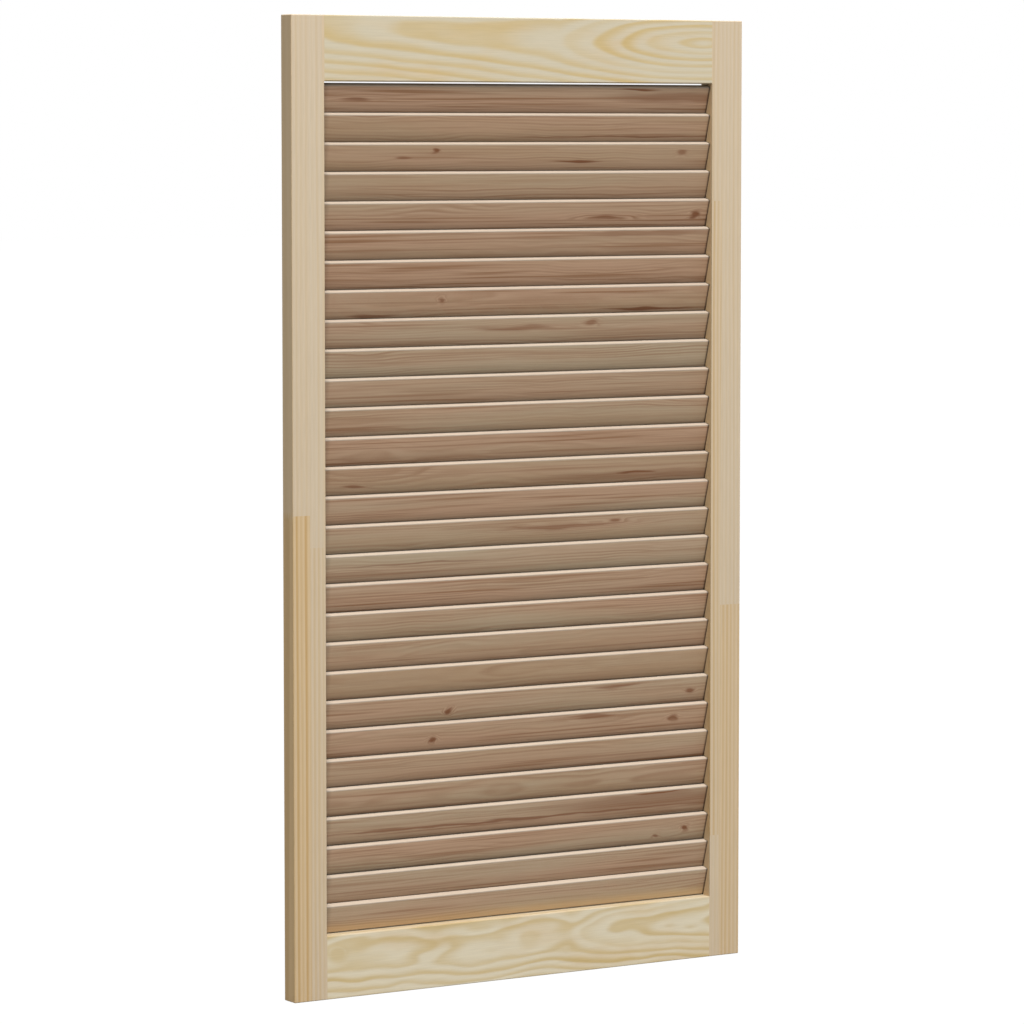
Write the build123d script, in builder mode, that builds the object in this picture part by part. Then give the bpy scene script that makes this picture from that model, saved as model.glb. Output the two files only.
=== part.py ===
"""Louvred cabinet door in solid pine, millimetres.

A frame of two stiles and two rails, doweled at its corners, holds a column of
fixed slanting slats. The slat ends sit in blind slanting housings, routed into
the inner edges of the stiles.

X runs across the door, from the hinge edge to the latch edge. The front faces -Y
and +Z is up. The origin is the middle of the outer edge face of the hinge stile.
"""

import os
from math import cos, radians, sin

from build123d import *

# Frame of the door
door_height = 993.0
door_width = 544.0
frame_thickness = 21.0
stile_width = 38.0
top_rail_height = 66.0
bottom_rail_height = 65.0
arris_radius = 1.0
opening_arris_radius = 1.2

# Slats, measured across their own section
slat_count = 29
slat_thickness = 7.6
slat_width = 30.4
slat_tilt = 16.5
slat_arris_radius = 1.3
slat_setback = 4.5
top_slot = 1.4
bottom_slot = 0.5

# Housings of the slats in the stiles, routed wider than the slat on its front face
housing_depth = 8.0
housing_clearance = 0.15
housing_face_gap = 0.9
housing_end_room = 0.5

# Dowels at the four corners of the frame
dowel_diameter = 8.0
dowel_in_stile = 24.0
dowel_in_rail = 34.0
dowel_spacing = 32.0
dowel_chamfer = 1.0
dowel_clearance = 0.05
dowel_end_room = 1.0

# Places that follow from the sizes above
half_height = door_height / 2
front_y = -frame_thickness / 2
back_y = frame_thickness / 2
inner_left_x = stile_width
inner_right_x = door_width - stile_width
rail_length = inner_right_x - inner_left_x
opening_top_z = half_height - top_rail_height
opening_bottom_z = -half_height + bottom_rail_height
opening_height = opening_top_z - opening_bottom_z

# The slat section leans forward: its nose is up and in front, its tail down and behind
lean = radians(slat_tilt)
flat_width = slat_width - 2 * slat_arris_radius
flat_thickness = slat_thickness - 2 * slat_arris_radius
slat_rise = flat_width * cos(lean) + flat_thickness * sin(lean) + 2 * slat_arris_radius
slat_reach = flat_width * sin(lean) + flat_thickness * cos(lean) + 2 * slat_arris_radius
slat_y = front_y + slat_setback + slat_reach / 2
first_slat_z = opening_top_z - top_slot - slat_rise / 2
last_slat_z = opening_bottom_z + bottom_slot + slat_rise / 2
slat_pitch = (first_slat_z - last_slat_z) / (slat_count - 1)
slat_heights = [first_slat_z - index * slat_pitch for index in range(slat_count)]
slat_length = rail_length + 2 * (housing_depth - housing_end_room)
housing_y = slat_y - housing_face_gap / 2 * cos(lean)
housing_drop = housing_face_gap / 2 * sin(lean)

os.makedirs("parts", exist_ok=True)


def write_piece(part, name):
    """Label one finished piece and write it to its own file."""
    part.label = name
    export_step(part, f"parts/{name}.step")


def side_plane(x, y=0.0, z=0.0):
    """A plane across the door at x, seen from the hinge edge: its own x runs to the back."""
    return Plane(origin=(x, y, z), x_dir=(0, 1, 0), z_dir=(1, 0, 0))


def slat_section(clearance=0.0, face_gap=0.0):
    """The leaning section of a slat, or of its housing, drawn about its own middle."""
    RectangleRounded(
        slat_thickness + face_gap + 2 * clearance,
        slat_width + 2 * clearance,
        slat_arris_radius + clearance,
        rotation=slat_tilt,
    )


def build_stile(outer_x, inner_x):
    """One stile: eased outer arrises, eased opening arrises, slat housings and dowel holes."""
    into_stile = 1 if outer_x > inner_x else -1
    middle_x = (outer_x + inner_x) / 2
    with BuildPart() as stile:
        with BuildSketch(Plane.XY.offset(-half_height)):
            with Locations((middle_x, 0)):
                Rectangle(stile_width, frame_thickness)
        extrude(amount=door_height)

        outer_face = stile.faces().sort_by(Axis.X)[-1 if into_stile > 0 else 0]
        top_face = stile.faces().sort_by(Axis.Z)[-1]
        bottom_face = stile.faces().sort_by(Axis.Z)[0]
        end_edges = (top_face.edges() + bottom_face.edges()).filter_by(Axis.X)
        fillet(outer_face.edges() + end_edges, arris_radius)

        # The arrises beside the opening are eased between the rails only
        with BuildSketch(Plane.XY.offset(opening_bottom_z)):
            with Locations((inner_x, front_y), (inner_x, back_y)):
                Rectangle(2 * opening_arris_radius, 2 * opening_arris_radius)
            keep_x = inner_x + into_stile * opening_arris_radius
            with Locations(
                (keep_x, front_y + opening_arris_radius),
                (keep_x, back_y - opening_arris_radius),
            ):
                Circle(opening_arris_radius, mode=Mode.SUBTRACT)
        extrude(amount=opening_height, mode=Mode.SUBTRACT)

        # One slanting blind housing for the end of each slat
        with BuildSketch(side_plane(inner_x)):
            with Locations([(housing_y, height - housing_drop) for height in slat_heights]):
                slat_section(housing_clearance, housing_face_gap)
        extrude(amount=into_stile * housing_depth, mode=Mode.SUBTRACT)

        with BuildSketch(side_plane(inner_x)):
            with Locations([(0, height) for height in dowel_heights()]):
                Circle(dowel_diameter / 2 + dowel_clearance)
        extrude(amount=into_stile * (dowel_in_stile + dowel_end_room), mode=Mode.SUBTRACT)
    return stile.part


def dowel_heights():
    """The heights of the dowels of one stile, from the top down."""
    rail_middles = (
        half_height - top_rail_height / 2,
        -half_height + bottom_rail_height / 2,
    )
    return [middle + side * dowel_spacing / 2 for middle in rail_middles for side in (1, -1)]


def build_rail(low_z, height, opening_side):
    """One rail between the stiles, eased along both long sides, bored for its dowels."""
    with BuildPart() as rail:
        with BuildSketch(side_plane(inner_left_x, z=low_z + height / 2)):
            Rectangle(frame_thickness, height)
        extrude(amount=rail_length)

        long_edges = rail.edges().filter_by(Axis.X).group_by(Axis.Z)
        opening_edges, outer_edges = long_edges[:: opening_side]
        fillet(outer_edges, arris_radius)
        fillet(opening_edges, opening_arris_radius)

        bore_depth = dowel_in_rail + dowel_end_room
        bores = [z for z in dowel_heights() if low_z < z < low_z + height]
        for end_x, inward in ((inner_left_x, 1), (inner_right_x, -1)):
            with BuildSketch(side_plane(end_x)):
                with Locations([(0, z) for z in bores]):
                    Circle(dowel_diameter / 2 + dowel_clearance)
            extrude(amount=inward * bore_depth, mode=Mode.SUBTRACT)
    return rail.part


def build_slat(height):
    """One slat with eased edges, long enough to enter both housings."""
    start_x = inner_left_x - housing_depth + housing_end_room
    with BuildPart() as slat:
        with BuildSketch(side_plane(start_x, slat_y, height)):
            slat_section()
        extrude(amount=slat_length)
    return slat.part


def build_dowel(joint_x, into_rail, height):
    """One dowel with chamfered ends, across the joint between a stile and a rail."""
    length = dowel_in_stile + dowel_in_rail
    start_x = joint_x - into_rail * dowel_in_stile
    with BuildPart() as dowel:
        with BuildSketch(side_plane(start_x, z=height)):
            Circle(dowel_diameter / 2)
        extrude(amount=into_rail * length)
        chamfer(dowel.edges().filter_by(GeomType.CIRCLE), dowel_chamfer)
    return dowel.part


write_piece(build_stile(0, inner_left_x), "left_stile")
write_piece(build_stile(door_width, inner_right_x), "right_stile")
write_piece(build_rail(opening_top_z, top_rail_height, 1), "top_rail")
write_piece(build_rail(-half_height, bottom_rail_height, -1), "bottom_rail")

for number, slat_height in enumerate(slat_heights, start=1):
    write_piece(build_slat(slat_height), f"slat_{number:02d}")

dowel_names = ("top_upper", "top_lower", "bottom_upper", "bottom_lower")
for side_name, joint_x, into_rail in (("left", inner_left_x, 1), ("right", inner_right_x, -1)):
    for place_name, dowel_height in zip(dowel_names, dowel_heights()):
        write_piece(build_dowel(joint_x, into_rail, dowel_height), f"{side_name}_dowel_{place_name}")

print(f"slat pitch {slat_pitch:.3f} mm, slat rise {slat_rise:.2f} mm, reach {slat_reach:.2f} mm")
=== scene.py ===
"""Louvred pine cabinet door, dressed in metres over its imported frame.

The stiles, rails and dowels keep their solids and get planed-pine finishes. The slats are
laid by Geometry Nodes, so that each carries its own number and its own place along the board.
"""

import math
from typing import NamedTuple

import bpy
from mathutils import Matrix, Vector


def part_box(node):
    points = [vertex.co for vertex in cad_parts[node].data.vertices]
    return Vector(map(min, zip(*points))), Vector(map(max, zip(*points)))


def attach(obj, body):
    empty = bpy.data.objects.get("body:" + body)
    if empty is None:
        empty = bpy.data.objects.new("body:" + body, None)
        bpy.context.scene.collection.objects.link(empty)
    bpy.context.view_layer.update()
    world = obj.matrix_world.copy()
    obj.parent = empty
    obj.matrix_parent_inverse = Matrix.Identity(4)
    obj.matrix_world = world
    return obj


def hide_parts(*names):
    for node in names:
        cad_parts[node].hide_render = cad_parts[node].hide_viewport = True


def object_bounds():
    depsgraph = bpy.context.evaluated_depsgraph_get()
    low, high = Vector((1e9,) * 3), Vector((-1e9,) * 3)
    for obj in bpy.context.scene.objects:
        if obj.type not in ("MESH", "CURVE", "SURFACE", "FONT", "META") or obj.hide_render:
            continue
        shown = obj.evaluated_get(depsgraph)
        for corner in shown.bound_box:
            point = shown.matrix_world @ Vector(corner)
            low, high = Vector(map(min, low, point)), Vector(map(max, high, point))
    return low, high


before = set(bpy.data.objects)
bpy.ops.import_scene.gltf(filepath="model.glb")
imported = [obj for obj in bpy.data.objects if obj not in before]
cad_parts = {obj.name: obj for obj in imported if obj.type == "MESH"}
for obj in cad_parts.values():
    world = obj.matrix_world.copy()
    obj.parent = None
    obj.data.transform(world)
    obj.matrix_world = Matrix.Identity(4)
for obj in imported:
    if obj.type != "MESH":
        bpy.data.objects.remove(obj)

bl_info = {
    "name": "Louvred Pine Door",
    "version": (1, 0, 0),
    "blender": (4, 5, 0),
    "location": "3D View > Sidebar > Door",
    "description": "Finishes a louvred pine cabinet door and lays its slats",
    "category": "Object",
}

MM = 0.001
CAD_BOX = [list(corner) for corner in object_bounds()]
SLAT_NODES = sorted(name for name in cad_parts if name.startswith("slat_"))
DOWEL_NODES = sorted(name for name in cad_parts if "dowel" in name)
FIRST_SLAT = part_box(SLAT_NODES[0])
LAST_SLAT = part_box(SLAT_NODES[-1])
LEFT_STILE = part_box("left_stile")
RIGHT_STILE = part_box("right_stile")
TOP_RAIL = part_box("top_rail")
BOTTOM_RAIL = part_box("bottom_rail")


def middle(box):
    """The middle of a (lowest corner, highest corner) pair."""
    return (box[0] + box[1]) / 2


class CameraSettings(bpy.types.PropertyGroup):
    """Where the camera stands and what it takes in."""

    place: bpy.props.FloatVectorProperty(
        name="Place", description="Where the camera stands", default=(-2.2541, -4.0408, 0.3794),
        subtype="TRANSLATION", unit="LENGTH")
    turn: bpy.props.FloatProperty(
        name="Turn", description="Turn from straight on, towards the free edge",
        default=math.radians(31.938), subtype="ANGLE")
    dip: bpy.props.FloatProperty(
        name="Dip", description="Dip below level", default=math.radians(4.688), subtype="ANGLE")
    lens: bpy.props.FloatProperty(
        name="Lens", description="Focal length on a 36 mm frame", default=162.66, min=1, unit="CAMERA")


class StageSettings(bpy.types.PropertyGroup):
    """Floor and lamps."""

    floor_colour: bpy.props.FloatVectorProperty(
        name="Floor colour", description="Colour of the plain floor", default=(0.24, 0.24, 0.24),
        min=0, max=1, subtype="COLOR")
    floor_white: bpy.props.FloatProperty(
        name="Floor white", description="How far the floor shows as plain white to the camera",
        default=0.90, min=0, max=1, subtype="FACTOR")
    floor_glow: bpy.props.FloatProperty(
        name="Floor glow", description="White that the camera sees in the floor", default=1.10, min=0)
    wall_strength: bpy.props.FloatProperty(
        name="Wall light", description="Strength of the room light at eye level", default=0.20, min=0)
    ceiling_strength: bpy.props.FloatProperty(
        name="Ceiling light", description="Strength of the room light overhead", default=0.86, min=0)
    key_power: bpy.props.FloatProperty(
        name="Key power", description="Power of the high front lamp", default=690.0, min=0,
        unit="POWER")
    key_place: bpy.props.FloatVectorProperty(
        name="Key place", description="Where the key lamp hangs, from the middle of the door",
        default=(-0.35, -3.35, 6.40), subtype="TRANSLATION", unit="LENGTH")
    key_size: bpy.props.FloatProperty(
        name="Key size", description="Side of the square key lamp", default=3.2, min=0.1, unit="LENGTH")


class PineSettings(bpy.types.PropertyGroup):
    """Colours and grain of the planed pine."""

    stile: bpy.props.FloatVectorProperty(
        name="Stile wood", description="Pale early wood of the stiles", default=(0.575, 0.472, 0.340),
        min=0, max=1, subtype="COLOR")
    rail: bpy.props.FloatVectorProperty(
        name="Rail wood", description="Pale early wood of the rails", default=(0.604, 0.535, 0.394),
        min=0, max=1, subtype="COLOR")
    warm: bpy.props.FloatVectorProperty(
        name="Warm wood", description="Warmer boards of the frame", default=(0.600, 0.420, 0.215),
        min=0, max=1, subtype="COLOR")
    stripe: bpy.props.FloatVectorProperty(
        name="Stripe wood", description="Late wood stripes of the stiles",
        default=(0.500, 0.325, 0.140), min=0, max=1, subtype="COLOR")
    late: bpy.props.FloatVectorProperty(
        name="Late wood", description="Late wood bands of the rails", default=(0.535, 0.392, 0.170),
        min=0, max=1, subtype="COLOR")
    # Painted shade: darker colour for the rails' arris at the opening
    opening_arris_shade: bpy.props.FloatVectorProperty(
        name="Arris shade", description="Duller arris of the rails at the opening",
        default=(0.38, 0.27, 0.15), min=0, max=1, subtype="COLOR")
    # Painted shade: near-black colour for the insides of the routed housings
    housing_shade: bpy.props.FloatVectorProperty(
        name="Housing shade", description="Inside of the routed housings", default=(0.035, 0.020, 0.010),
        min=0, max=1, subtype="COLOR")
    ring_gap: bpy.props.FloatProperty(
        name="Ring gap", description="Distance between year rings", default=3.8 * MM, min=0.2 * MM,
        unit="LENGTH")
    fibre: bpy.props.FloatProperty(
        name="Fibre", description="Strength of the fine fibre", default=0.10, min=0, max=1,
        subtype="FACTOR")
    roughness: bpy.props.FloatProperty(
        name="Roughness", description="Roughness of the planed face", default=0.60, min=0, max=1,
        subtype="FACTOR")


class DowelSettings(bpy.types.PropertyGroup):
    """Colours of the beech dowels."""

    beech: bpy.props.FloatVectorProperty(
        name="Beech", description="Plain beech", default=(0.56, 0.36, 0.20), min=0, max=1,
        subtype="COLOR")
    fleck: bpy.props.FloatVectorProperty(
        name="Fleck", description="Short dark flecks of the beech", default=(0.38, 0.21, 0.11),
        min=0, max=1, subtype="COLOR")


class SlatSettings(bpy.types.PropertyGroup):
    """Section and colours of the slats."""

    thickness: bpy.props.FloatProperty(
        name="Thickness", description="Thickness of a slat", default=7.6 * MM, min=MM, unit="LENGTH")
    width: bpy.props.FloatProperty(
        name="Width", description="Width of a slat along its slope", default=30.4 * MM, min=MM,
        unit="LENGTH")
    lean: bpy.props.FloatProperty(
        name="Lean", description="Lean from upright, nose to the front", default=math.radians(16.5),
        subtype="ANGLE")
    arris: bpy.props.FloatProperty(
        name="Arris", description="Radius of the eased edges", default=1.3 * MM, min=0, unit="LENGTH")
    arris_steps: bpy.props.IntProperty(
        name="Arris steps", description="Points round each eased edge", default=6, min=1, max=16)
    length_steps: bpy.props.IntProperty(
        name="Length steps", description="Points along each slat", default=13, min=2, max=100)
    grey: bpy.props.FloatVectorProperty(
        name="Grey slat", description="Wood of the greyest slats", default=(0.528, 0.415, 0.280),
        min=0, max=1, subtype="COLOR")
    tan: bpy.props.FloatVectorProperty(
        name="Tan slat", description="Wood of the brownest slats", default=(0.486, 0.330, 0.200),
        min=0, max=1, subtype="COLOR")
    rosy: bpy.props.FloatVectorProperty(
        name="Rosy slat", description="Wood of the pinkest slats", default=(0.540, 0.342, 0.222),
        min=0, max=1, subtype="COLOR")
    late: bpy.props.FloatVectorProperty(
        name="Slat late wood", description="Year rings of the slats", default=(0.315, 0.160, 0.078),
        min=0, max=1, subtype="COLOR")
    streak: bpy.props.FloatVectorProperty(
        name="Streak", description="Red-brown knots and resin streaks", default=(0.230, 0.092, 0.040),
        min=0, max=1, subtype="COLOR")
    # Paler colour for the eased edges: partly wood planed fresh, partly a painted sheen
    nose: bpy.props.FloatVectorProperty(
        name="Nose", description="Wood planed fresh on the eased edges", default=(0.480, 0.402, 0.320),
        min=0, max=1, subtype="COLOR")


class Bench:
    """Lays nodes in one tree and joins them as they are laid."""

    def __init__(self, tree):
        self.tree = tree

    def node(self, kind, inputs=None, **settings):
        """Lay one node, set its settings, then fill its inputs with values or with outputs."""
        made = self.tree.nodes.new(kind)
        for name, value in settings.items():
            setattr(made, name, value)
        for key, value in (inputs or {}).items():
            socket = made.inputs[key]
            if isinstance(value, bpy.types.NodeSocket):
                self.tree.links.new(value, socket)
            else:
                socket.default_value = value
        return made

    def math(self, operation, *values, clamp=False):
        """One Math node on up to three values or outputs."""
        inputs = dict(enumerate(values))
        return self.node("ShaderNodeMath", inputs, operation=operation, use_clamp=clamp).outputs[0]

    def step(self, value, low, high, top=1.0):
        """0 at low, top at high, smooth between them."""
        inputs = {"Value": value, "From Min": low, "From Max": high, "To Max": top}
        made = self.node("ShaderNodeMapRange", inputs, interpolation_type="SMOOTHSTEP")
        return made.outputs["Result"]

    def blend(self, factor, first, second, mode="MIX"):
        """Mix two colours."""
        inputs = {0: factor, 6: first, 7: second}
        made = self.node("ShaderNodeMix", inputs, data_type="RGBA", blend_type=mode, clamp_factor=True)
        return made.outputs[2]

    def choose(self, mask, first, second):
        """Mix two vectors."""
        inputs = {0: mask, 4: first, 5: second}
        return self.node("ShaderNodeMix", inputs, data_type="VECTOR").outputs[1]

    def vector(self, x, y, z):
        """Put three values together."""
        return self.node("ShaderNodeCombineXYZ", {0: x, 1: y, 2: z}).outputs[0]

    def split(self, vector):
        """The three values of a vector."""
        return self.node("ShaderNodeSeparateXYZ", {0: vector}).outputs[:]

    def noise(self, vector, detail=2.0, roughness=0.5):
        """Noise from about 0 to 1 at the vector's own scale."""
        inputs = {"Vector": vector, "Scale": 1.0, "Detail": detail, "Roughness": roughness}
        return self.node("ShaderNodeTexNoise", inputs, noise_dimensions="3D").outputs["Fac"]

    def length(self, first, second):
        """The long side of a right triangle."""
        squares = [self.math("POWER", side, 2.0) for side in (first, second)]
        return self.math("SQRT", self.math("ADD", *squares))

    def less_half(self, value):
        """A value about 0 from a value about one half."""
        return self.math("SUBTRACT", value, 0.5)

    def spread(self, along, across, deep, scales):
        """The place in a board as a noise vector, scaled along, across and into it."""
        values = (along, across, deep)
        places = [self.math("MULTIPLY", value, scale) for value, scale in zip(values, scales)]
        return self.vector(*places)


class Board(NamedTuple):
    """One glued strip of a stile, between two finger joints."""

    left: float
    right: float
    low: float
    high: float
    warmth: float
    stripes: float
    seed: float


class Flame(NamedTuple):
    """How a flat-sawn rail lies in its log, as lengths in metres and slopes along the rail."""

    tip: float
    core: float
    depth: float
    left_slope: float
    right_slope: float
    lift: float
    wave: float
    gap: float
    tone: float
    seed: float


class Mark(NamedTuple):
    """A knot or a resin streak: its board, and its middle and half width on the board in mm."""

    board: int
    along: float
    across: float
    size: float
    stretch: float
    strength: float
    bend: float


FOOT = LEFT_STILE[0].z
OPENING_HEIGHT = TOP_RAIL[0].z - BOTTOM_RAIL[1].z
OPENING_MIDDLE = (TOP_RAIL[0].z + BOTTOM_RAIL[1].z) / 2
BEYOND = 1.0

# Strips are measured across the stile from its left edge, joints up from the middle of the door
LEFT_BOARDS = (
    Board(-BEYOND, 19.5 * MM, 0.8 * MM, BEYOND, 0.05, 0.22, 1.3),
    Board(-BEYOND, 19.5 * MM, -BEYOND, 0.8 * MM, 0.58, 1.30, 4.1),
    Board(19.5 * MM, 35.2 * MM, -32.0 * MM, BEYOND, 0.00, 0.26, 7.7),
    Board(19.5 * MM, 35.2 * MM, -BEYOND, -32.0 * MM, 0.12, 0.72, 9.2),
    Board(35.2 * MM, BEYOND, -BEYOND, BEYOND, 0.22, 0.25, 12.6),
)
RIGHT_BOARDS = (
    Board(-BEYOND, 12.6 * MM, 312.0 * MM, BEYOND, 0.06, 0.34, 2.4),
    Board(-BEYOND, 12.6 * MM, -362.0 * MM, 312.0 * MM, 0.24, 1.25, 5.5),
    Board(-BEYOND, 12.6 * MM, -BEYOND, -362.0 * MM, 0.12, 0.22, 8.8),
    Board(12.6 * MM, BEYOND, -116.0 * MM, BEYOND, 0.04, 0.36, 11.9),
    Board(12.6 * MM, BEYOND, -BEYOND, -116.0 * MM, 0.40, 0.80, 14.3),
    # Painted shade: the outermost strip, the free arris of the right stile, is made warm and striped so
    # it reads darker
    Board(37.1 * MM, BEYOND, -BEYOND, BEYOND, 1.00, 1.30, 6.6),
)
TOP_FLAME = Flame(0.316, 0.473, 0.0232, 0.030, 0.190, 0.060, 0.75, 1.75, 0.94, 3.1)
BOTTOM_FLAME = Flame(0.330, -0.455, 0.0210, 0.010, 0.095, 0.0, 2.60, 1.65, 1.11, 17.4)
BOTTOM_KNOTS = (Mark(0, 50.0, -451.0, 8.0, 1.3, 0.50, 3.5),)

# Counted from the top slat as 1, along from the slat's middle, across up its slope
SLAT_MARKS = (
    Mark(1, -192.0, 0.0, 1.8, 8.0, 0.60, 3.0),
    Mark(1, 145.0, 12.0, 1.2, 18.0, 0.95, 0.0),
    Mark(1, 200.0, 3.5, 4.5, 16.0, 0.50, 0.0),
    Mark(2, 135.0, -8.5, 1.0, 105.0, 0.60, 0.0),
    Mark(3, -102.0, 7.7, 2.3, 1.5, 0.95, 5.0),
    Mark(3, -136.0, 0.9, 1.8, 4.0, 0.60, 2.0),
    Mark(3, 68.0, -5.0, 1.0, 24.0, 0.90, 0.0),
    Mark(3, 201.0, 5.9, 2.6, 1.8, 0.55, 5.0),
    Mark(5, 108.0, -2.4, 1.8, 9.0, 0.60, 6.0),
    Mark(5, 219.0, -0.2, 3.2, 1.6, 0.80, 6.0),
    Mark(6, 160.0, 11.0, 2.2, 34.0, 0.40, 0.0),
    Mark(8, -93.0, 4.3, 2.4, 1.3, 0.55, 7.0),
    Mark(8, -173.0, -10.5, 1.5, 14.0, 0.60, 0.0),
    Mark(8, 164.0, -9.8, 1.2, 42.0, 0.95, 0.0),
    Mark(9, -5.0, 3.4, 2.0, 18.0, 0.45, 6.0),
    Mark(9, 88.0, 7.8, 2.2, 2.5, 0.50, 5.0),
    Mark(14, -196.0, -5.0, 1.9, 6.0, 0.60, 3.0),
    Mark(14, 150.0, -6.0, 3.6, 32.0, 0.30, 0.0),
    Mark(14, 146.0, -3.2, 1.1, 20.0, 0.95, 0.0),
    Mark(16, 52.0, 2.8, 2.0, 26.0, 0.45, 6.0),
    Mark(16, 118.0, 7.6, 2.0, 2.5, 0.55, 3.0),
    Mark(17, -120.0, 3.0, 1.0, 90.0, 0.42, 0.0),
    Mark(22, -82.0, -2.6, 2.4, 1.3, 0.85, 7.0),
    Mark(22, 117.0, 10.0, 1.8, 13.0, 0.55, 3.0),
    Mark(22, 214.0, -1.0, 2.6, 1.6, 0.70, 4.0),
    Mark(23, -105.0, -2.4, 2.4, 1.3, 0.90, 7.0),
    Mark(23, 92.0, 10.5, 1.8, 13.0, 0.55, 3.0),
    Mark(23, 192.0, 1.0, 2.8, 1.8, 0.65, 5.0),
    Mark(26, 30.0, -3.4, 1.2, 190.0, 0.62, 0.0),
    Mark(26, 172.0, 4.0, 8.0, 14.0, 0.45, 0.0),
    Mark(26, 174.0, 12.2, 1.2, 26.0, 0.95, 0.0),
    Mark(27, 173.0, -4.9, 1.8, 1.8, 0.60, 4.0),
    Mark(27, 208.0, 1.4, 2.5, 1.4, 0.80, 6.0),
)

FINGER_LENGTH = 9.0 * MM
FINGER_PITCH = 3.8 * MM
# How far the housings reach into a stile and to either side of its middle
HOUSING_REACH = 9.0 * MM
HOUSING_HALF = 10.2 * MM
# Up the slope of a slat, where the slat above begins to cover its face
CREVICE = 14.6 * MM
# Length of a slat between the stiles
SEEN_LENGTH = RIGHT_STILE[0].x - LEFT_STILE[1].x
WHITE = (1, 1, 1, 1)

# Scales of the noises per metre: along a board, across it and into it
FIBRE = (34.0, 1300.0, 1300.0)
STILE_DRIFT = (1.6, 30.0, 30.0)
STILE_CLOUD = (4.0, 60.0, 60.0)
RAIL_WAVE = (8.0, 22.0, 10.0)
RAIL_CLOUD = (9.0, 30.0, 20.0)
SLAT_SWAY = (22.0, 150.0, 60.0)
SLAT_DRIFT = (6.0, 26.0, 40.0)
SLAT_CLOUD = (5.0, 60.0, 60.0)
SLAT_BLUSH = (3.0, 40.0, 40.0)
SLAT_THREADS = (5.0, 380.0, 300.0)
SLAT_PATCH = (4.0, 70.0, 60.0)
BEECH_FLECKS = (220.0, 1800.0, 1800.0)


def ring_bands(bench, distance, gap):
    """Year rings from a distance to the heart: soft bands, each as strong as its own year."""
    turns = bench.math("DIVIDE", distance, gap)
    phase = bench.math("FRACT", turns)
    year = bench.math("FLOOR", turns)
    vigour = bench.node("ShaderNodeTexWhiteNoise", {"W": year}, noise_dimensions="1D").outputs["Value"]
    rise = bench.step(phase, 0.10, 0.70)
    fall = bench.step(phase, 0.72, 1.0)
    band = bench.math("SUBTRACT", rise, fall, clamp=True)
    return bench.math("MULTIPLY", band, bench.math("MULTIPLY_ADD", vigour, 0.65, 0.35))


def board_marks(bench, along, across, board, marks):
    """How dark each point is with knots and streaks, and how far the rings bend round them."""
    place = bench.vector(along, across, board)
    dark, bend = 0.0, 0.0
    for mark in marks:
        squeeze = (1 / mark.stretch, 1.0, 1.0)
        to_middle = (-mark.along * MM / mark.stretch, -mark.across * MM, -mark.board)
        away = bench.node("ShaderNodeVectorMath", {0: place, 1: squeeze, 2: to_middle},
                          operation="MULTIPLY_ADD").outputs[0]
        away = bench.node("ShaderNodeVectorMath", {0: away}, operation="LENGTH").outputs["Value"]
        strength = min(1.25 * mark.strength, 1.0)
        core = bench.step(away, 1.75 * mark.size * MM, 0.5 * mark.size * MM, strength)
        dark = bench.math("MAXIMUM", dark, core)
        if mark.bend:
            near = bench.step(away, (5.0 + mark.size) * MM, 0.0, mark.bend * MM)
            bend = bench.math("ADD", near, bend)
    return dark, bend


def fibre_of(bench, along, across, deep):
    """Fine fibre, drawn out along the grain."""
    return bench.noise(bench.spread(along, across, deep, FIBRE), roughness=0.6)


def wood_surface(bench, colour, relief, roughness):
    """End a wood material: colour, roughness that follows the grain, and a shallow relief."""
    bump = bench.node("ShaderNodeBump", {"Strength": 0.35, "Distance": 0.12 * MM, "Height": relief})
    surface = bench.node(
        "ShaderNodeBsdfPrincipled",
        {"Base Color": colour, "Roughness": roughness, "Normal": bump.outputs[0],
         "Specular IOR Level": 0.28})
    bench.node("ShaderNodeOutputMaterial", {"Surface": surface.outputs[0]})


def from_opening_middle(bench, z):
    """Height above or below the middle of the opening."""
    return bench.math("ABSOLUTE", bench.math("SUBTRACT", z, OPENING_MIDDLE))


def new_material(name):
    """An empty node material."""
    material = bpy.data.materials.new(name)
    material.use_nodes = True
    material.node_tree.nodes.clear()
    return material, Bench(material.node_tree)


def seen_rays(bench):
    """1 for the rays that show the background: straight, mirrored or through glass."""
    rays = bench.node("ShaderNodeLightPath").outputs
    seen = bench.math("MAXIMUM", rays["Is Camera Ray"], rays["Is Glossy Ray"])
    return bench.math("MAXIMUM", seen, rays["Is Transmission Ray"])


def shade_with_fibre(bench, colour, fibre, strength):
    """Darken and lighten a colour by the fine fibre."""
    level = bench.node("ShaderNodeMapRange",
                       {"Value": fibre, "To Min": 1 - strength, "To Max": 1 + strength})
    grey = bench.vector(*[level.outputs[0]] * 3)
    return bench.blend(1.0, colour, grey, "MULTIPLY")


def finger_wave(bench, deep):
    """The zigzag of a finger joint, seen on the edge face and straight on the front."""
    cycle = bench.math("PINGPONG", deep, FINGER_PITCH / 2)
    return bench.math("MULTIPLY", cycle, FINGER_LENGTH / (FINGER_PITCH / 2))


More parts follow.
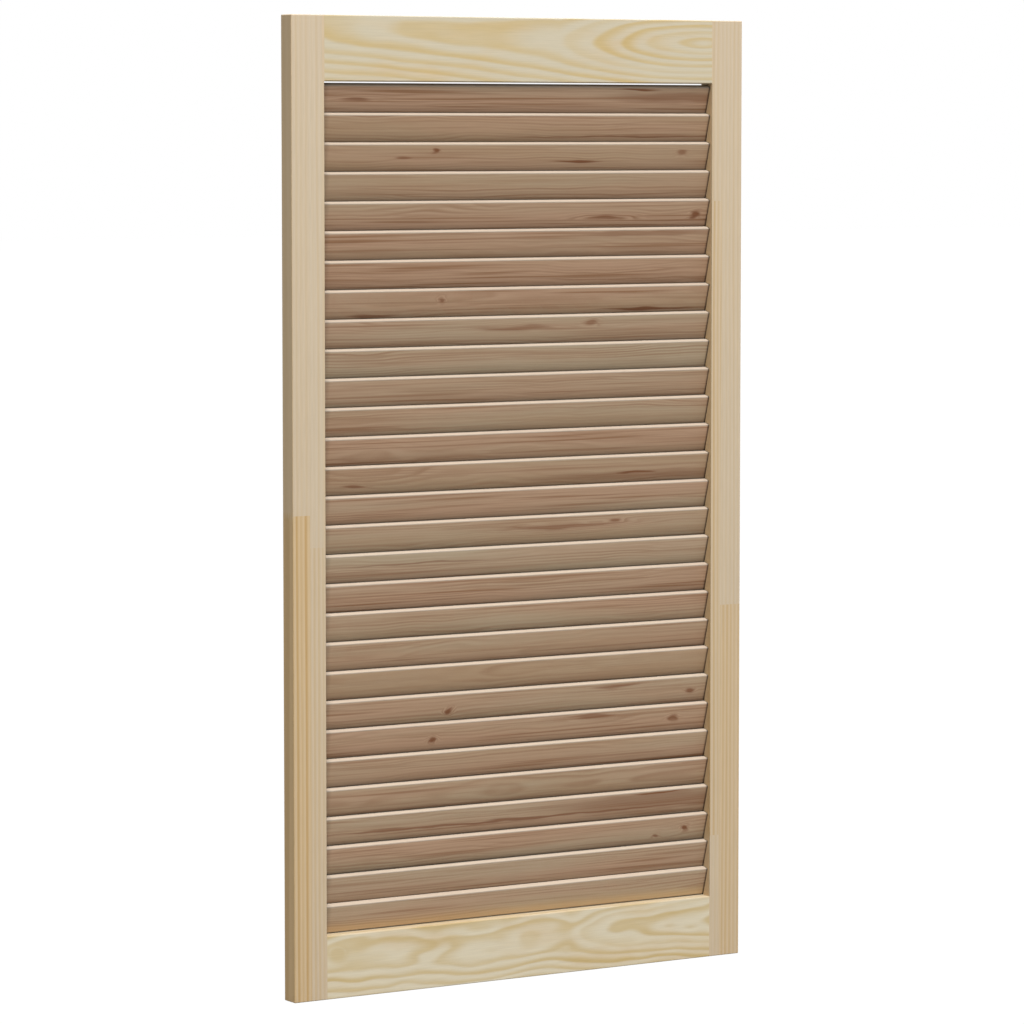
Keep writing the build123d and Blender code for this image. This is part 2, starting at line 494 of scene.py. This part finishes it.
def stile_material(name, edge_x, inner_x, boards, pine):
    """Glued strips of pine, each with its own tone and stripes, that run up the stile."""
    material, bench = new_material(name)
    place = bench.node("ShaderNodeTexCoord").outputs["Object"]
    x, y, z = bench.split(place)
    across = bench.math("SUBTRACT", x, edge_x)
    jointed = bench.math("ADD", z, finger_wave(bench, y))

    # Each board's mask brings in its own warmth, stripes and seed
    traits = (boards[0].warmth, boards[0].stripes, boards[0].seed)
    for board in boards[1:]:
        in_strip = bench.math("MULTIPLY", bench.math("GREATER_THAN", across, board.left),
                              bench.math("LESS_THAN", across, board.right))
        in_length = bench.math("MULTIPLY", bench.math("GREATER_THAN", jointed, board.low),
                               bench.math("LESS_THAN", jointed, board.high))
        mask = bench.math("MULTIPLY", in_strip, in_length)
        traits = bench.choose(mask, traits, (board.warmth, board.stripes, board.seed))
    warmth, stripes, seed = bench.split(traits)

    # Rings about a heart that lies behind the stile, at its own distance for each board
    shifted = bench.math("ADD", z, seed)
    drift = bench.noise(bench.spread(shifted, across, y, STILE_DRIFT))
    heart_x = bench.math("MULTIPLY_ADD", seed, 7.0 * MM, 60.0 * MM)
    distance = bench.length(bench.math("SUBTRACT", across, heart_x),
                            bench.math("SUBTRACT", y, 22.0 * MM))
    distance = bench.math("MULTIPLY_ADD", drift, 6.0 * MM, distance)
    rings = ring_bands(bench, distance, pine.ring_gap * 1.25)

    # The wood is warmer in clouds, and on the edge face
    cloud = bench.less_half(bench.noise(bench.spread(shifted, across, y, STILE_CLOUD), detail=3.0))
    warmth = bench.math("ADD", warmth, bench.step(across, 0.7 * MM, 0.1 * MM, 0.5))
    warmth = bench.math("MULTIPLY_ADD", cloud, 0.35, warmth, clamp=True)
    late = bench.math("MULTIPLY", rings, stripes, clamp=True)
    fibre = fibre_of(bench, z, across, y)
    early = bench.blend(warmth, (*pine.stile, 1), (*pine.warm, 1))
    colour = bench.blend(late, early, (*pine.stripe, 1))
    colour = shade_with_fibre(bench, colour, fibre, pine.fibre)

    # Painted shade: the insides of the routed housings are darkened almost to black
    sunk = bench.math("ABSOLUTE", bench.math("SUBTRACT", x, inner_x))
    inside = bench.math("LESS_THAN", bench.math("ABSOLUTE", y), HOUSING_HALF)
    inside = bench.math("MULTIPLY", inside, bench.math("LESS_THAN", sunk, HOUSING_REACH))
    in_height = bench.math("LESS_THAN", from_opening_middle(bench, z), OPENING_HEIGHT / 2)
    inside = bench.math("MULTIPLY", inside, in_height)
    housing_shade = bench.math("MULTIPLY", inside, bench.step(sunk, 0.02 * MM, 0.35 * MM, 0.92))
    colour = bench.blend(housing_shade, colour, (*pine.housing_shade, 1))
    relief = bench.math("MULTIPLY_ADD", late, 0.6, fibre)
    wood_surface(bench, colour, relief, bench.math("MULTIPLY_ADD", late, -0.12, pine.roughness))
    return material


def rail_material(name, flame, knots, pine):
    """A flat-sawn board that runs across the door, with flame figures where the rings surface."""
    material, bench = new_material(name)
    place = bench.node("ShaderNodeTexCoord").outputs["Object"]
    x, y, z = bench.split(place)
    dark, bend = board_marks(bench, x, z, 0.0, knots)

    # The board lies askew to the heart of its log, on either side of the flame's tip
    past_tip = bench.math("SUBTRACT", x, flame.tip)
    before = bench.math("MINIMUM", past_tip, 0.0)
    after = bench.math("MAXIMUM", past_tip, 0.0)
    shifted = bench.math("ADD", x, flame.seed)
    wave = bench.less_half(bench.noise(bench.spread(shifted, z, y, RAIL_WAVE)))
    wave = bench.math("MULTIPLY", wave, 13.0 * MM * flame.wave)
    deep = bench.math("SUBTRACT", flame.depth, bench.math("MULTIPLY", before, flame.left_slope))
    deep = bench.math("SUBTRACT", deep, bench.math("MULTIPLY", after, flame.right_slope))
    deep = bench.math("ADD", bench.math("SUBTRACT", deep, y), wave)
    high = bench.math("SUBTRACT", z, bench.math("MULTIPLY_ADD", before, -flame.lift, flame.core))
    distance = bench.length(high, deep)
    rings = ring_bands(bench, bench.math("ADD", distance, bend), pine.ring_gap * flame.gap)

    # Far from the heart the rings are fainter
    near = bench.step(distance, 115.0 * MM, 60.0 * MM, 0.7)
    rings = bench.math("MULTIPLY", rings, bench.math("ADD", near, 0.3))

    cloud = bench.noise(bench.spread(shifted, z, y, RAIL_CLOUD), detail=3.0)
    warmth = bench.math("MULTIPLY", bench.step(cloud, 0.45, 0.85), 0.55)
    late = bench.math("MULTIPLY", rings, bench.math("MULTIPLY_ADD", cloud, 0.9, 0.38), clamp=True)
    late = bench.math("MAXIMUM", late, dark)
    fibre = fibre_of(bench, x, z, y)
    pale = tuple(channel * flame.tone for channel in pine.rail)
    early = bench.blend(warmth, (*pale, 1), (*pine.warm, 1))
    colour = bench.blend(late, early, (*pine.late, 1))
    colour = shade_with_fibre(bench, colour, fibre, pine.fibre)

    # Painted shade: the arris at the opening is darker than the face
    past_opening = bench.math("SUBTRACT", from_opening_middle(bench, z), OPENING_HEIGHT / 2)
    arris = bench.step(past_opening, 1.5 * MM, 0.3 * MM, 0.45)
    colour = bench.blend(arris, colour, (*pine.opening_arris_shade, 1))
    relief = bench.math("MULTIPLY_ADD", late, 0.6, fibre)
    wood_surface(bench, colour, relief, bench.math("MULTIPLY_ADD", late, -0.12, pine.roughness))
    return material


def crevice_shade(bench, across, deep):
    """Light left on a slat, less towards the crevice that the next slat makes with it."""
    side = bench.math("DIVIDE", deep, 2.2 * MM)
    side = bench.math("MINIMUM", bench.math("MAXIMUM", side, -1.0), 1.0)
    away = bench.math("SUBTRACT", CREVICE, bench.math("MULTIPLY", across, side))
    wide = bench.step(away, -2.0 * MM, 15.0 * MM, 0.34)
    tight = bench.step(away, 0.0, 2.0 * MM, 0.58)
    return bench.math("ADD", bench.math("ADD", wide, tight), 0.08)


def place_shade(bench, number, along):
    """Light left on a slat by its place: less at the ends, most beside the left stile, and high up."""
    from_left = bench.math("ADD", along, SEEN_LENGTH / 2)
    from_end = bench.math("SUBTRACT", SEEN_LENGTH / 2, bench.math("ABSOLUTE", along))
    end_shade = bench.math("ADD", bench.step(from_left, 2.0 * MM, 10.0 * MM, 0.30), 0.08)
    end_shade = bench.math("ADD", end_shade, bench.step(from_end, 0.0, 2.0 * MM, 0.62))
    height_shade = bench.math("ADD", bench.step(number, 2.0, 26.0, 0.10), 0.93)
    return bench.math("MULTIPLY", end_shade, height_shade)


def slat_rings(bench, place, shifted, chances, bend, pine):
    """Year rings of a slat, each slat from another place in the log."""
    along, across, deep = place
    first, second, third = chances
    drift = bench.noise(bench.spread(shifted, across, deep, SLAT_DRIFT))
    heart_across = bench.math("MULTIPLY_ADD", bench.less_half(first), -0.11, across)
    heart_deep = bench.math("MULTIPLY_ADD", second, 20.0 * MM, bench.math("ADD", deep, 9.0 * MM))
    slope = bench.math("MULTIPLY", bench.less_half(third), 0.035)
    heart_deep = bench.math("MULTIPLY_ADD", along, slope, heart_deep)
    distance = bench.length(heart_across, heart_deep)
    distance = bench.math("ADD", bench.math("MULTIPLY_ADD", drift, 17.0 * MM, distance), bend)
    return ring_bands(bench, distance, pine.ring_gap * 0.8)


def slat_material(name, slat, pine):
    """Slat wood: each board has its own tone, its own place in the log and its own marks."""
    material, bench = new_material(name)
    place = bench.node("ShaderNodeAttribute", attribute_name="board_place").outputs["Vector"]
    number = bench.node("ShaderNodeAttribute", attribute_name="board_number").outputs["Fac"]
    along, across, deep = bench.split(place)
    chance = bench.node("ShaderNodeTexWhiteNoise", {"W": bench.math("ADD", number, 0.37)},
                        noise_dimensions="1D").outputs["Color"]
    chances = bench.node("ShaderNodeSeparateColor", {0: chance}).outputs[:3]
    shifted = bench.math("MULTIPLY_ADD", number, 1.7, along)

    # Marks lie on a board that wanders a little, as wood does
    sway = bench.less_half(bench.noise(bench.spread(shifted, across, deep, SLAT_SWAY), detail=1.0))
    swayed = bench.math("MULTIPLY_ADD", sway, 7.0 * MM, across)
    slid = bench.math("MULTIPLY_ADD", sway, 16.0 * MM, along)
    dark, bend = board_marks(bench, slid, swayed, bench.math("ADD", number, 1.0), SLAT_MARKS)
    halo = bench.math("DIVIDE", bend, 7.0 * MM, clamp=True)
    rings = slat_rings(bench, (along, across, deep), shifted, chances, bend, pine)

    # Tone: from grey to tan, with a blush
    cloud = bench.less_half(bench.noise(bench.spread(shifted, across, deep, SLAT_CLOUD)))
    brown = bench.math("MULTIPLY_ADD", cloud, 1.4, chances[1], clamp=True)
    base = bench.blend(brown, (*slat.grey, 1), (*slat.tan, 1))
    blush = bench.less_half(bench.noise(bench.spread(shifted, across, deep, SLAT_BLUSH), detail=1.0))
    blush = bench.math("MULTIPLY_ADD", blush, 2.6, chances[2])
    blush = bench.math("MULTIPLY_ADD", halo, 0.5, blush, clamp=True)
    base = bench.blend(bench.math("MULTIPLY", blush, 0.85), base, (*slat.rosy, 1))

    # Late wood: threads on the rosy boards, and rings that come and go
    threads = bench.noise(bench.spread(shifted, across, deep, SLAT_THREADS), detail=1.0)
    vivid = bench.math("MULTIPLY_ADD", blush, 0.68, 0.26)
    threads = bench.math("MULTIPLY", bench.step(threads, 0.46, 0.72), vivid)
    patch = bench.noise(bench.spread(shifted, across, deep, SLAT_PATCH), detail=1.0)
    patch = bench.step(patch, 0.38, 0.70)
    vigour = bench.math("MULTIPLY_ADD", halo, 0.75, bench.math("MULTIPLY_ADD", patch, 0.56, 0.20))
    late = bench.math("MULTIPLY", rings, vigour, clamp=True)
    late = bench.math("MAXIMUM", late, threads)
    colour = bench.blend(late, base, (*slat.late, 1))
    colour = bench.blend(dark, colour, (*slat.streak, 1))

    # The nose and the tail are painted paler: partly wood planed fresh, partly a painted sheen
    half = slat.width / 2
    edge = bench.step(bench.math("ABSOLUTE", across), half - 2.2 * MM, half - 0.9 * MM, 0.85)
    colour = bench.blend(edge, colour, (*slat.nose, 1))
    fibre = fibre_of(bench, shifted, across, deep)
    colour = shade_with_fibre(bench, colour, fibre, pine.fibre)

    # The lowest slat is lit from the rail below it, down to a dark line at its tail
    lowest = bench.math("COMPARE", number, len(SLAT_NODES) - 1.0, 0.5)
    glow = bench.math("MULTIPLY", lowest, bench.step(across, -2.0 * MM, -12.0 * MM, 0.50))
    colour = bench.blend(glow, colour, (*pine.warm, 1))
    tail = bench.math("ADD", bench.step(across, 0.5 * MM - half, 2.2 * MM - half, 0.72), 0.28)
    tail = bench.math("MULTIPLY", lowest, tail)
    shade = bench.math("MAXIMUM", crevice_shade(bench, across, deep), tail)
    shade = bench.math("MULTIPLY", shade, place_shade(bench, number, along))
    colour = bench.blend(1.0, colour, bench.vector(shade, shade, shade), "MULTIPLY")
    relief = bench.math("MULTIPLY_ADD", late, 0.6, fibre)
    wood_surface(bench, colour, relief, bench.math("MULTIPLY_ADD", late, -0.10, pine.roughness))
    return material


def dowel_material(name, dowel, pine):
    """Straight, fine-grained beech with short flecks."""
    material, bench = new_material(name)
    place = bench.node("ShaderNodeTexCoord").outputs["Object"]
    x, y, z = bench.split(place)
    fibre = fibre_of(bench, x, z, y)
    flecks = bench.step(bench.noise(bench.spread(x, z, y, BEECH_FLECKS)), 0.6, 0.75)
    colour = bench.blend(flecks, (*dowel.beech, 1), (*dowel.fleck, 1))
    colour = shade_with_fibre(bench, colour, fibre, 2 * pine.fibre)
    roughness = bench.math("MULTIPLY_ADD", flecks, 0.1, 0.5)
    wood_surface(bench, colour, fibre, roughness)
    return material


def give(node_name, material):
    """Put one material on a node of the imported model."""
    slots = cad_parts[node_name].data.materials
    slots.clear()
    slots.append(material)


class SlatTree:
    """The Geometry Nodes tree that lays all slats of the door."""

    SIZES = (
        ("Count", "NodeSocketInt"), ("Pitch", "NodeSocketFloat"), ("First", "NodeSocketVector"),
        ("Length", "NodeSocketFloat"), ("Thickness", "NodeSocketFloat"), ("Width", "NodeSocketFloat"),
        ("Lean", "NodeSocketFloat"), ("Arris", "NodeSocketFloat"), ("Arris Steps", "NodeSocketInt"),
        ("Length Steps", "NodeSocketInt"), ("Material", "NodeSocketMaterial"),
    )

    def __init__(self, name):
        self.tree = bpy.data.node_groups.new(name, "GeometryNodeTree")
        self.sockets = {}
        for label, kind in self.SIZES:
            made = self.tree.interface.new_socket(label, in_out="INPUT", socket_type=kind)
            self.sockets[label] = made.identifier
        self.tree.interface.new_socket("Geometry", in_out="OUTPUT", socket_type="NodeSocketGeometry")
        self.bench = Bench(self.tree)
        self.given = self.bench.node("NodeGroupInput").outputs
        self.build()

    def flat_slat(self):
        """One slat lying along X, its width on Z, with its place stored before it is turned."""
        bench, given = self.bench, self.given
        half = bench.math("MULTIPLY", given["Length"], 0.5)
        back = bench.math("MULTIPLY", given["Length"], -0.5)
        line = bench.node("GeometryNodeCurvePrimitiveLine",
                          {"Start": bench.vector(back, 0, 0), "End": bench.vector(half, 0, 0)})
        line = bench.node("GeometryNodeResampleCurve",
                          {"Curve": line.outputs[0], "Count": given["Length Steps"]})
        section = bench.node("GeometryNodeCurvePrimitiveQuadrilateral",
                             {"Width": given["Thickness"], "Height": given["Width"]})
        section = bench.node("GeometryNodeFilletCurve",
                             {"Curve": section.outputs[0], "Radius": given["Arris"],
                              "Count": given["Arris Steps"]}, mode="POLY")
        slat = bench.node("GeometryNodeCurveToMesh",
                          {"Curve": line.outputs[0], "Profile Curve": section.outputs[0],
                           "Fill Caps": True})
        place = bench.node("GeometryNodeInputPosition").outputs[0]
        x, y, z = bench.split(place)
        slat = bench.node("GeometryNodeStoreNamedAttribute",
                          {"Geometry": slat.outputs[0], "Name": "board_place",
                           "Value": bench.vector(x, z, y)}, data_type="FLOAT_VECTOR", domain="POINT")
        return slat.outputs[0]

    def build(self):
        """Lean the slat, set it at every height, number the copies and make them one mesh."""
        bench, given = self.bench, self.given
        lean = bench.vector(given["Lean"], 0, 0)
        turned = bench.node("GeometryNodeTransform", {"Geometry": self.flat_slat(), "Rotation": lean})
        drop = bench.vector(0, 0, bench.math("MULTIPLY", given["Pitch"], -1.0))
        places = bench.node("GeometryNodeMeshLine",
                            {"Count": given["Count"], "Start Location": given["First"], "Offset": drop})
        laid = bench.node("GeometryNodeInstanceOnPoints",
                          {"Points": places.outputs[0], "Instance": turned.outputs[0]})
        numbered = bench.node("GeometryNodeStoreNamedAttribute",
                              {"Geometry": laid.outputs[0], "Name": "board_number",
                               "Value": bench.node("GeometryNodeInputIndex").outputs[0]},
                              data_type="FLOAT", domain="INSTANCE")
        real = bench.node("GeometryNodeRealizeInstances", {0: numbered.outputs[0]})
        done = bench.node("GeometryNodeSetMaterial",
                          {"Geometry": real.outputs[0], "Material": given["Material"]})
        bench.node("NodeGroupOutput", {"Geometry": done.outputs[0]})


def slats_mesh(name, values):
    """Evaluate the slat tree with the given sizes and keep the result as a plain mesh."""
    slat_tree = SlatTree(name)
    holder = bpy.data.objects.new(name + "_holder", bpy.data.meshes.new(name + "_empty"))
    bpy.context.scene.collection.objects.link(holder)
    modifier = holder.modifiers.new("Slats", "NODES")
    modifier.node_group = slat_tree.tree
    for label, value in values.items():
        modifier[slat_tree.sockets[label]] = value
    bpy.context.view_layer.update()
    evaluated = holder.evaluated_get(bpy.context.evaluated_depsgraph_get())
    mesh = bpy.data.meshes.new_from_object(evaluated)
    bpy.data.objects.remove(holder)
    bpy.data.node_groups.remove(slat_tree.tree)
    return mesh


class DOOR_OT_camera(bpy.types.Operator):
    """Set the camera at the photograph's angle"""

    bl_idname = "door.camera"
    bl_label = "Camera"

    def execute(self, context):
        settings = context.scene.door_camera
        data = bpy.data.cameras.new("camera")
        data.sensor_width = 36.0
        data.lens = settings.lens
        data.clip_end = 100.0
        camera = bpy.data.objects.new("camera", data)
        camera.location = settings.place
        camera.rotation_euler = (math.radians(90) - settings.dip, 0, -settings.turn)
        context.scene.collection.objects.link(camera)
        context.scene.camera = camera
        return {"FINISHED"}


class DOOR_OT_stage(bpy.types.Operator):
    """Lay the plain floor and hang the soft lamps"""

    bl_idname = "door.stage"
    bl_label = "Stage"

    def execute(self, context):
        settings = context.scene.door_stage
        self.lay_floor(context, settings)
        self.hang_key(context, settings)
        self.light_room(context, settings)
        context.scene.view_settings.view_transform = "Standard"
        return {"FINISHED"}

    def lay_floor(self, context, settings):
        """A wide pale floor under the door, white to the camera but with the door's shadow."""
        reach = 30.0
        level = FOOT - 0.2 * MM
        corners = [(x * reach, y * reach, level) for x, y in ((-1, -1), (1, -1), (1, 1), (-1, 1))]
        mesh = bpy.data.meshes.new("floor")
        mesh.from_pydata(corners, [], [(0, 1, 2, 3)])
        floor = bpy.data.objects.new("floor", mesh)
        context.scene.collection.objects.link(floor)
        material, bench = new_material("pale_floor")
        matt = bench.node("ShaderNodeBsdfDiffuse", {"Color": (*settings.floor_colour, 1)})
        white = bench.node("ShaderNodeEmission", {"Color": WHITE, "Strength": settings.floor_glow})
        share = bench.math("MULTIPLY", seen_rays(bench), settings.floor_white)
        mixed = bench.node("ShaderNodeMixShader", {0: share, 1: matt.outputs[0], 2: white.outputs[0]})
        bench.node("ShaderNodeOutputMaterial", {"Surface": mixed.outputs[0]})
        mesh.materials.append(material)

    def hang_key(self, context, settings):
        """One large square lamp, high in front of the hinge side, aimed at the door."""
        target = Vector([(low + high) / 2 for low, high in zip(*CAD_BOX)])
        data = bpy.data.lights.new("key", "AREA")
        data.energy = settings.key_power
        data.shape = "SQUARE"
        data.size = settings.key_size
        lamp = bpy.data.objects.new("key", data)
        lamp.location = target + Vector(settings.key_place)
        lamp.rotation_euler = (-Vector(settings.key_place)).to_track_quat("-Z", "Y").to_euler()
        context.scene.collection.objects.link(lamp)

    def light_room(self, context, settings):
        """An even room light, shown to the camera as plain white."""
        world = bpy.data.worlds.new("room")
        world.use_nodes = True
        world.node_tree.nodes.clear()
        bench = Bench(world.node_tree)
        upward = bench.split(bench.node("ShaderNodeTexCoord").outputs["Generated"])[2]
        strength = bench.node("ShaderNodeMapRange", {"Value": upward, "To Min": settings.wall_strength,
                                                     "To Max": settings.ceiling_strength})
        light = bench.node("ShaderNodeBackground", {"Color": WHITE, "Strength": strength.outputs[0]})
        white = bench.node("ShaderNodeBackground", {"Color": WHITE, "Strength": 1.0})
        mixed = bench.node("ShaderNodeMixShader",
                           {0: seen_rays(bench), 1: light.outputs[0], 2: white.outputs[0]})
        bench.node("ShaderNodeOutputWorld", {"Surface": mixed.outputs[0]})
        context.scene.world = world


class DOOR_OT_frame(bpy.types.Operator):
    """Finish the stiles and rails in planed pine"""

    bl_idname = "door.frame"
    bl_label = "Stiles and rails"

    def execute(self, context):
        pine = context.scene.door_pine
        left_x, inner_left_x, inner_right_x = LEFT_STILE[0].x, LEFT_STILE[1].x, RIGHT_STILE[0].x
        give("left_stile", stile_material("pine_left_stile", left_x, inner_left_x, LEFT_BOARDS, pine))
        give("right_stile",
             stile_material("pine_right_stile", inner_right_x, inner_right_x, RIGHT_BOARDS, pine))
        give("top_rail", rail_material("pine_top_rail", TOP_FLAME, (), pine))
        give("bottom_rail", rail_material("pine_bottom_rail", BOTTOM_FLAME, BOTTOM_KNOTS, pine))
        return {"FINISHED"}


class DOOR_OT_slats(bpy.types.Operator):
    """Lay the leaning slats between the stiles"""

    bl_idname = "door.slats"
    bl_label = "Slats"

    def execute(self, context):
        slat = context.scene.door_slat
        first, last = middle(FIRST_SLAT), middle(LAST_SLAT)
        count = len(SLAT_NODES)
        values = {
            "Count": count,
            "Pitch": (first.z - last.z) / (count - 1),
            "First": first,
            "Length": FIRST_SLAT[1].x - FIRST_SLAT[0].x,
            "Thickness": slat.thickness,
            "Width": slat.width,
            "Lean": slat.lean,
            "Arris": slat.arris,
            "Arris Steps": slat.arris_steps,
            "Length Steps": slat.length_steps,
            "Material": slat_material("pine_slats", slat, context.scene.door_pine),
        }
        slats = bpy.data.objects.new("slats", slats_mesh("slats", values))
        context.scene.collection.objects.link(slats)
        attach(slats, "root")
        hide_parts(*SLAT_NODES)
        return {"FINISHED"}


class DOOR_OT_dowels(bpy.types.Operator):
    """Finish the dowels at the corners of the frame"""

    bl_idname = "door.dowels"
    bl_label = "Dowels"

    def execute(self, context):
        beech = dowel_material("beech_dowels", context.scene.door_dowel, context.scene.door_pine)
        for name in DOWEL_NODES:
            give(name, beech)
        return {"FINISHED"}


class DOOR_PT_panel(bpy.types.Panel):
    """Lists what makes the door"""

    bl_idname = "DOOR_PT_panel"
    bl_label = "Louvred door"
    bl_space_type = "VIEW_3D"
    bl_region_type = "UI"
    bl_category = "Door"

    def draw(self, context):
        for operator in OPERATORS:
            self.layout.operator(operator.bl_idname)


OPERATORS = (DOOR_OT_camera, DOOR_OT_stage, DOOR_OT_frame, DOOR_OT_slats, DOOR_OT_dowels)
SETTINGS = {
    "door_camera": CameraSettings,
    "door_stage": StageSettings,
    "door_pine": PineSettings,
    "door_slat": SlatSettings,
    "door_dowel": DowelSettings,
}


def register():
    """Register the settings, operators and panel."""
    for name, group in SETTINGS.items():
        bpy.utils.register_class(group)
        setattr(bpy.types.Scene, name, bpy.props.PointerProperty(type=group))
    for item in (*OPERATORS, DOOR_PT_panel):
        bpy.utils.register_class(item)


def unregister():
    """Take away what register added."""
    for item in (DOOR_PT_panel, *reversed(OPERATORS)):
        bpy.utils.unregister_class(item)
    for name, group in SETTINGS.items():
        delattr(bpy.types.Scene, name)
        bpy.utils.unregister_class(group)


def main():
    """Make the whole scene."""
    register()
    for operator in OPERATORS:
        group, call = operator.bl_idname.split(".")
        getattr(getattr(bpy.ops, group), call)()


if __name__ == "__main__":
    main()
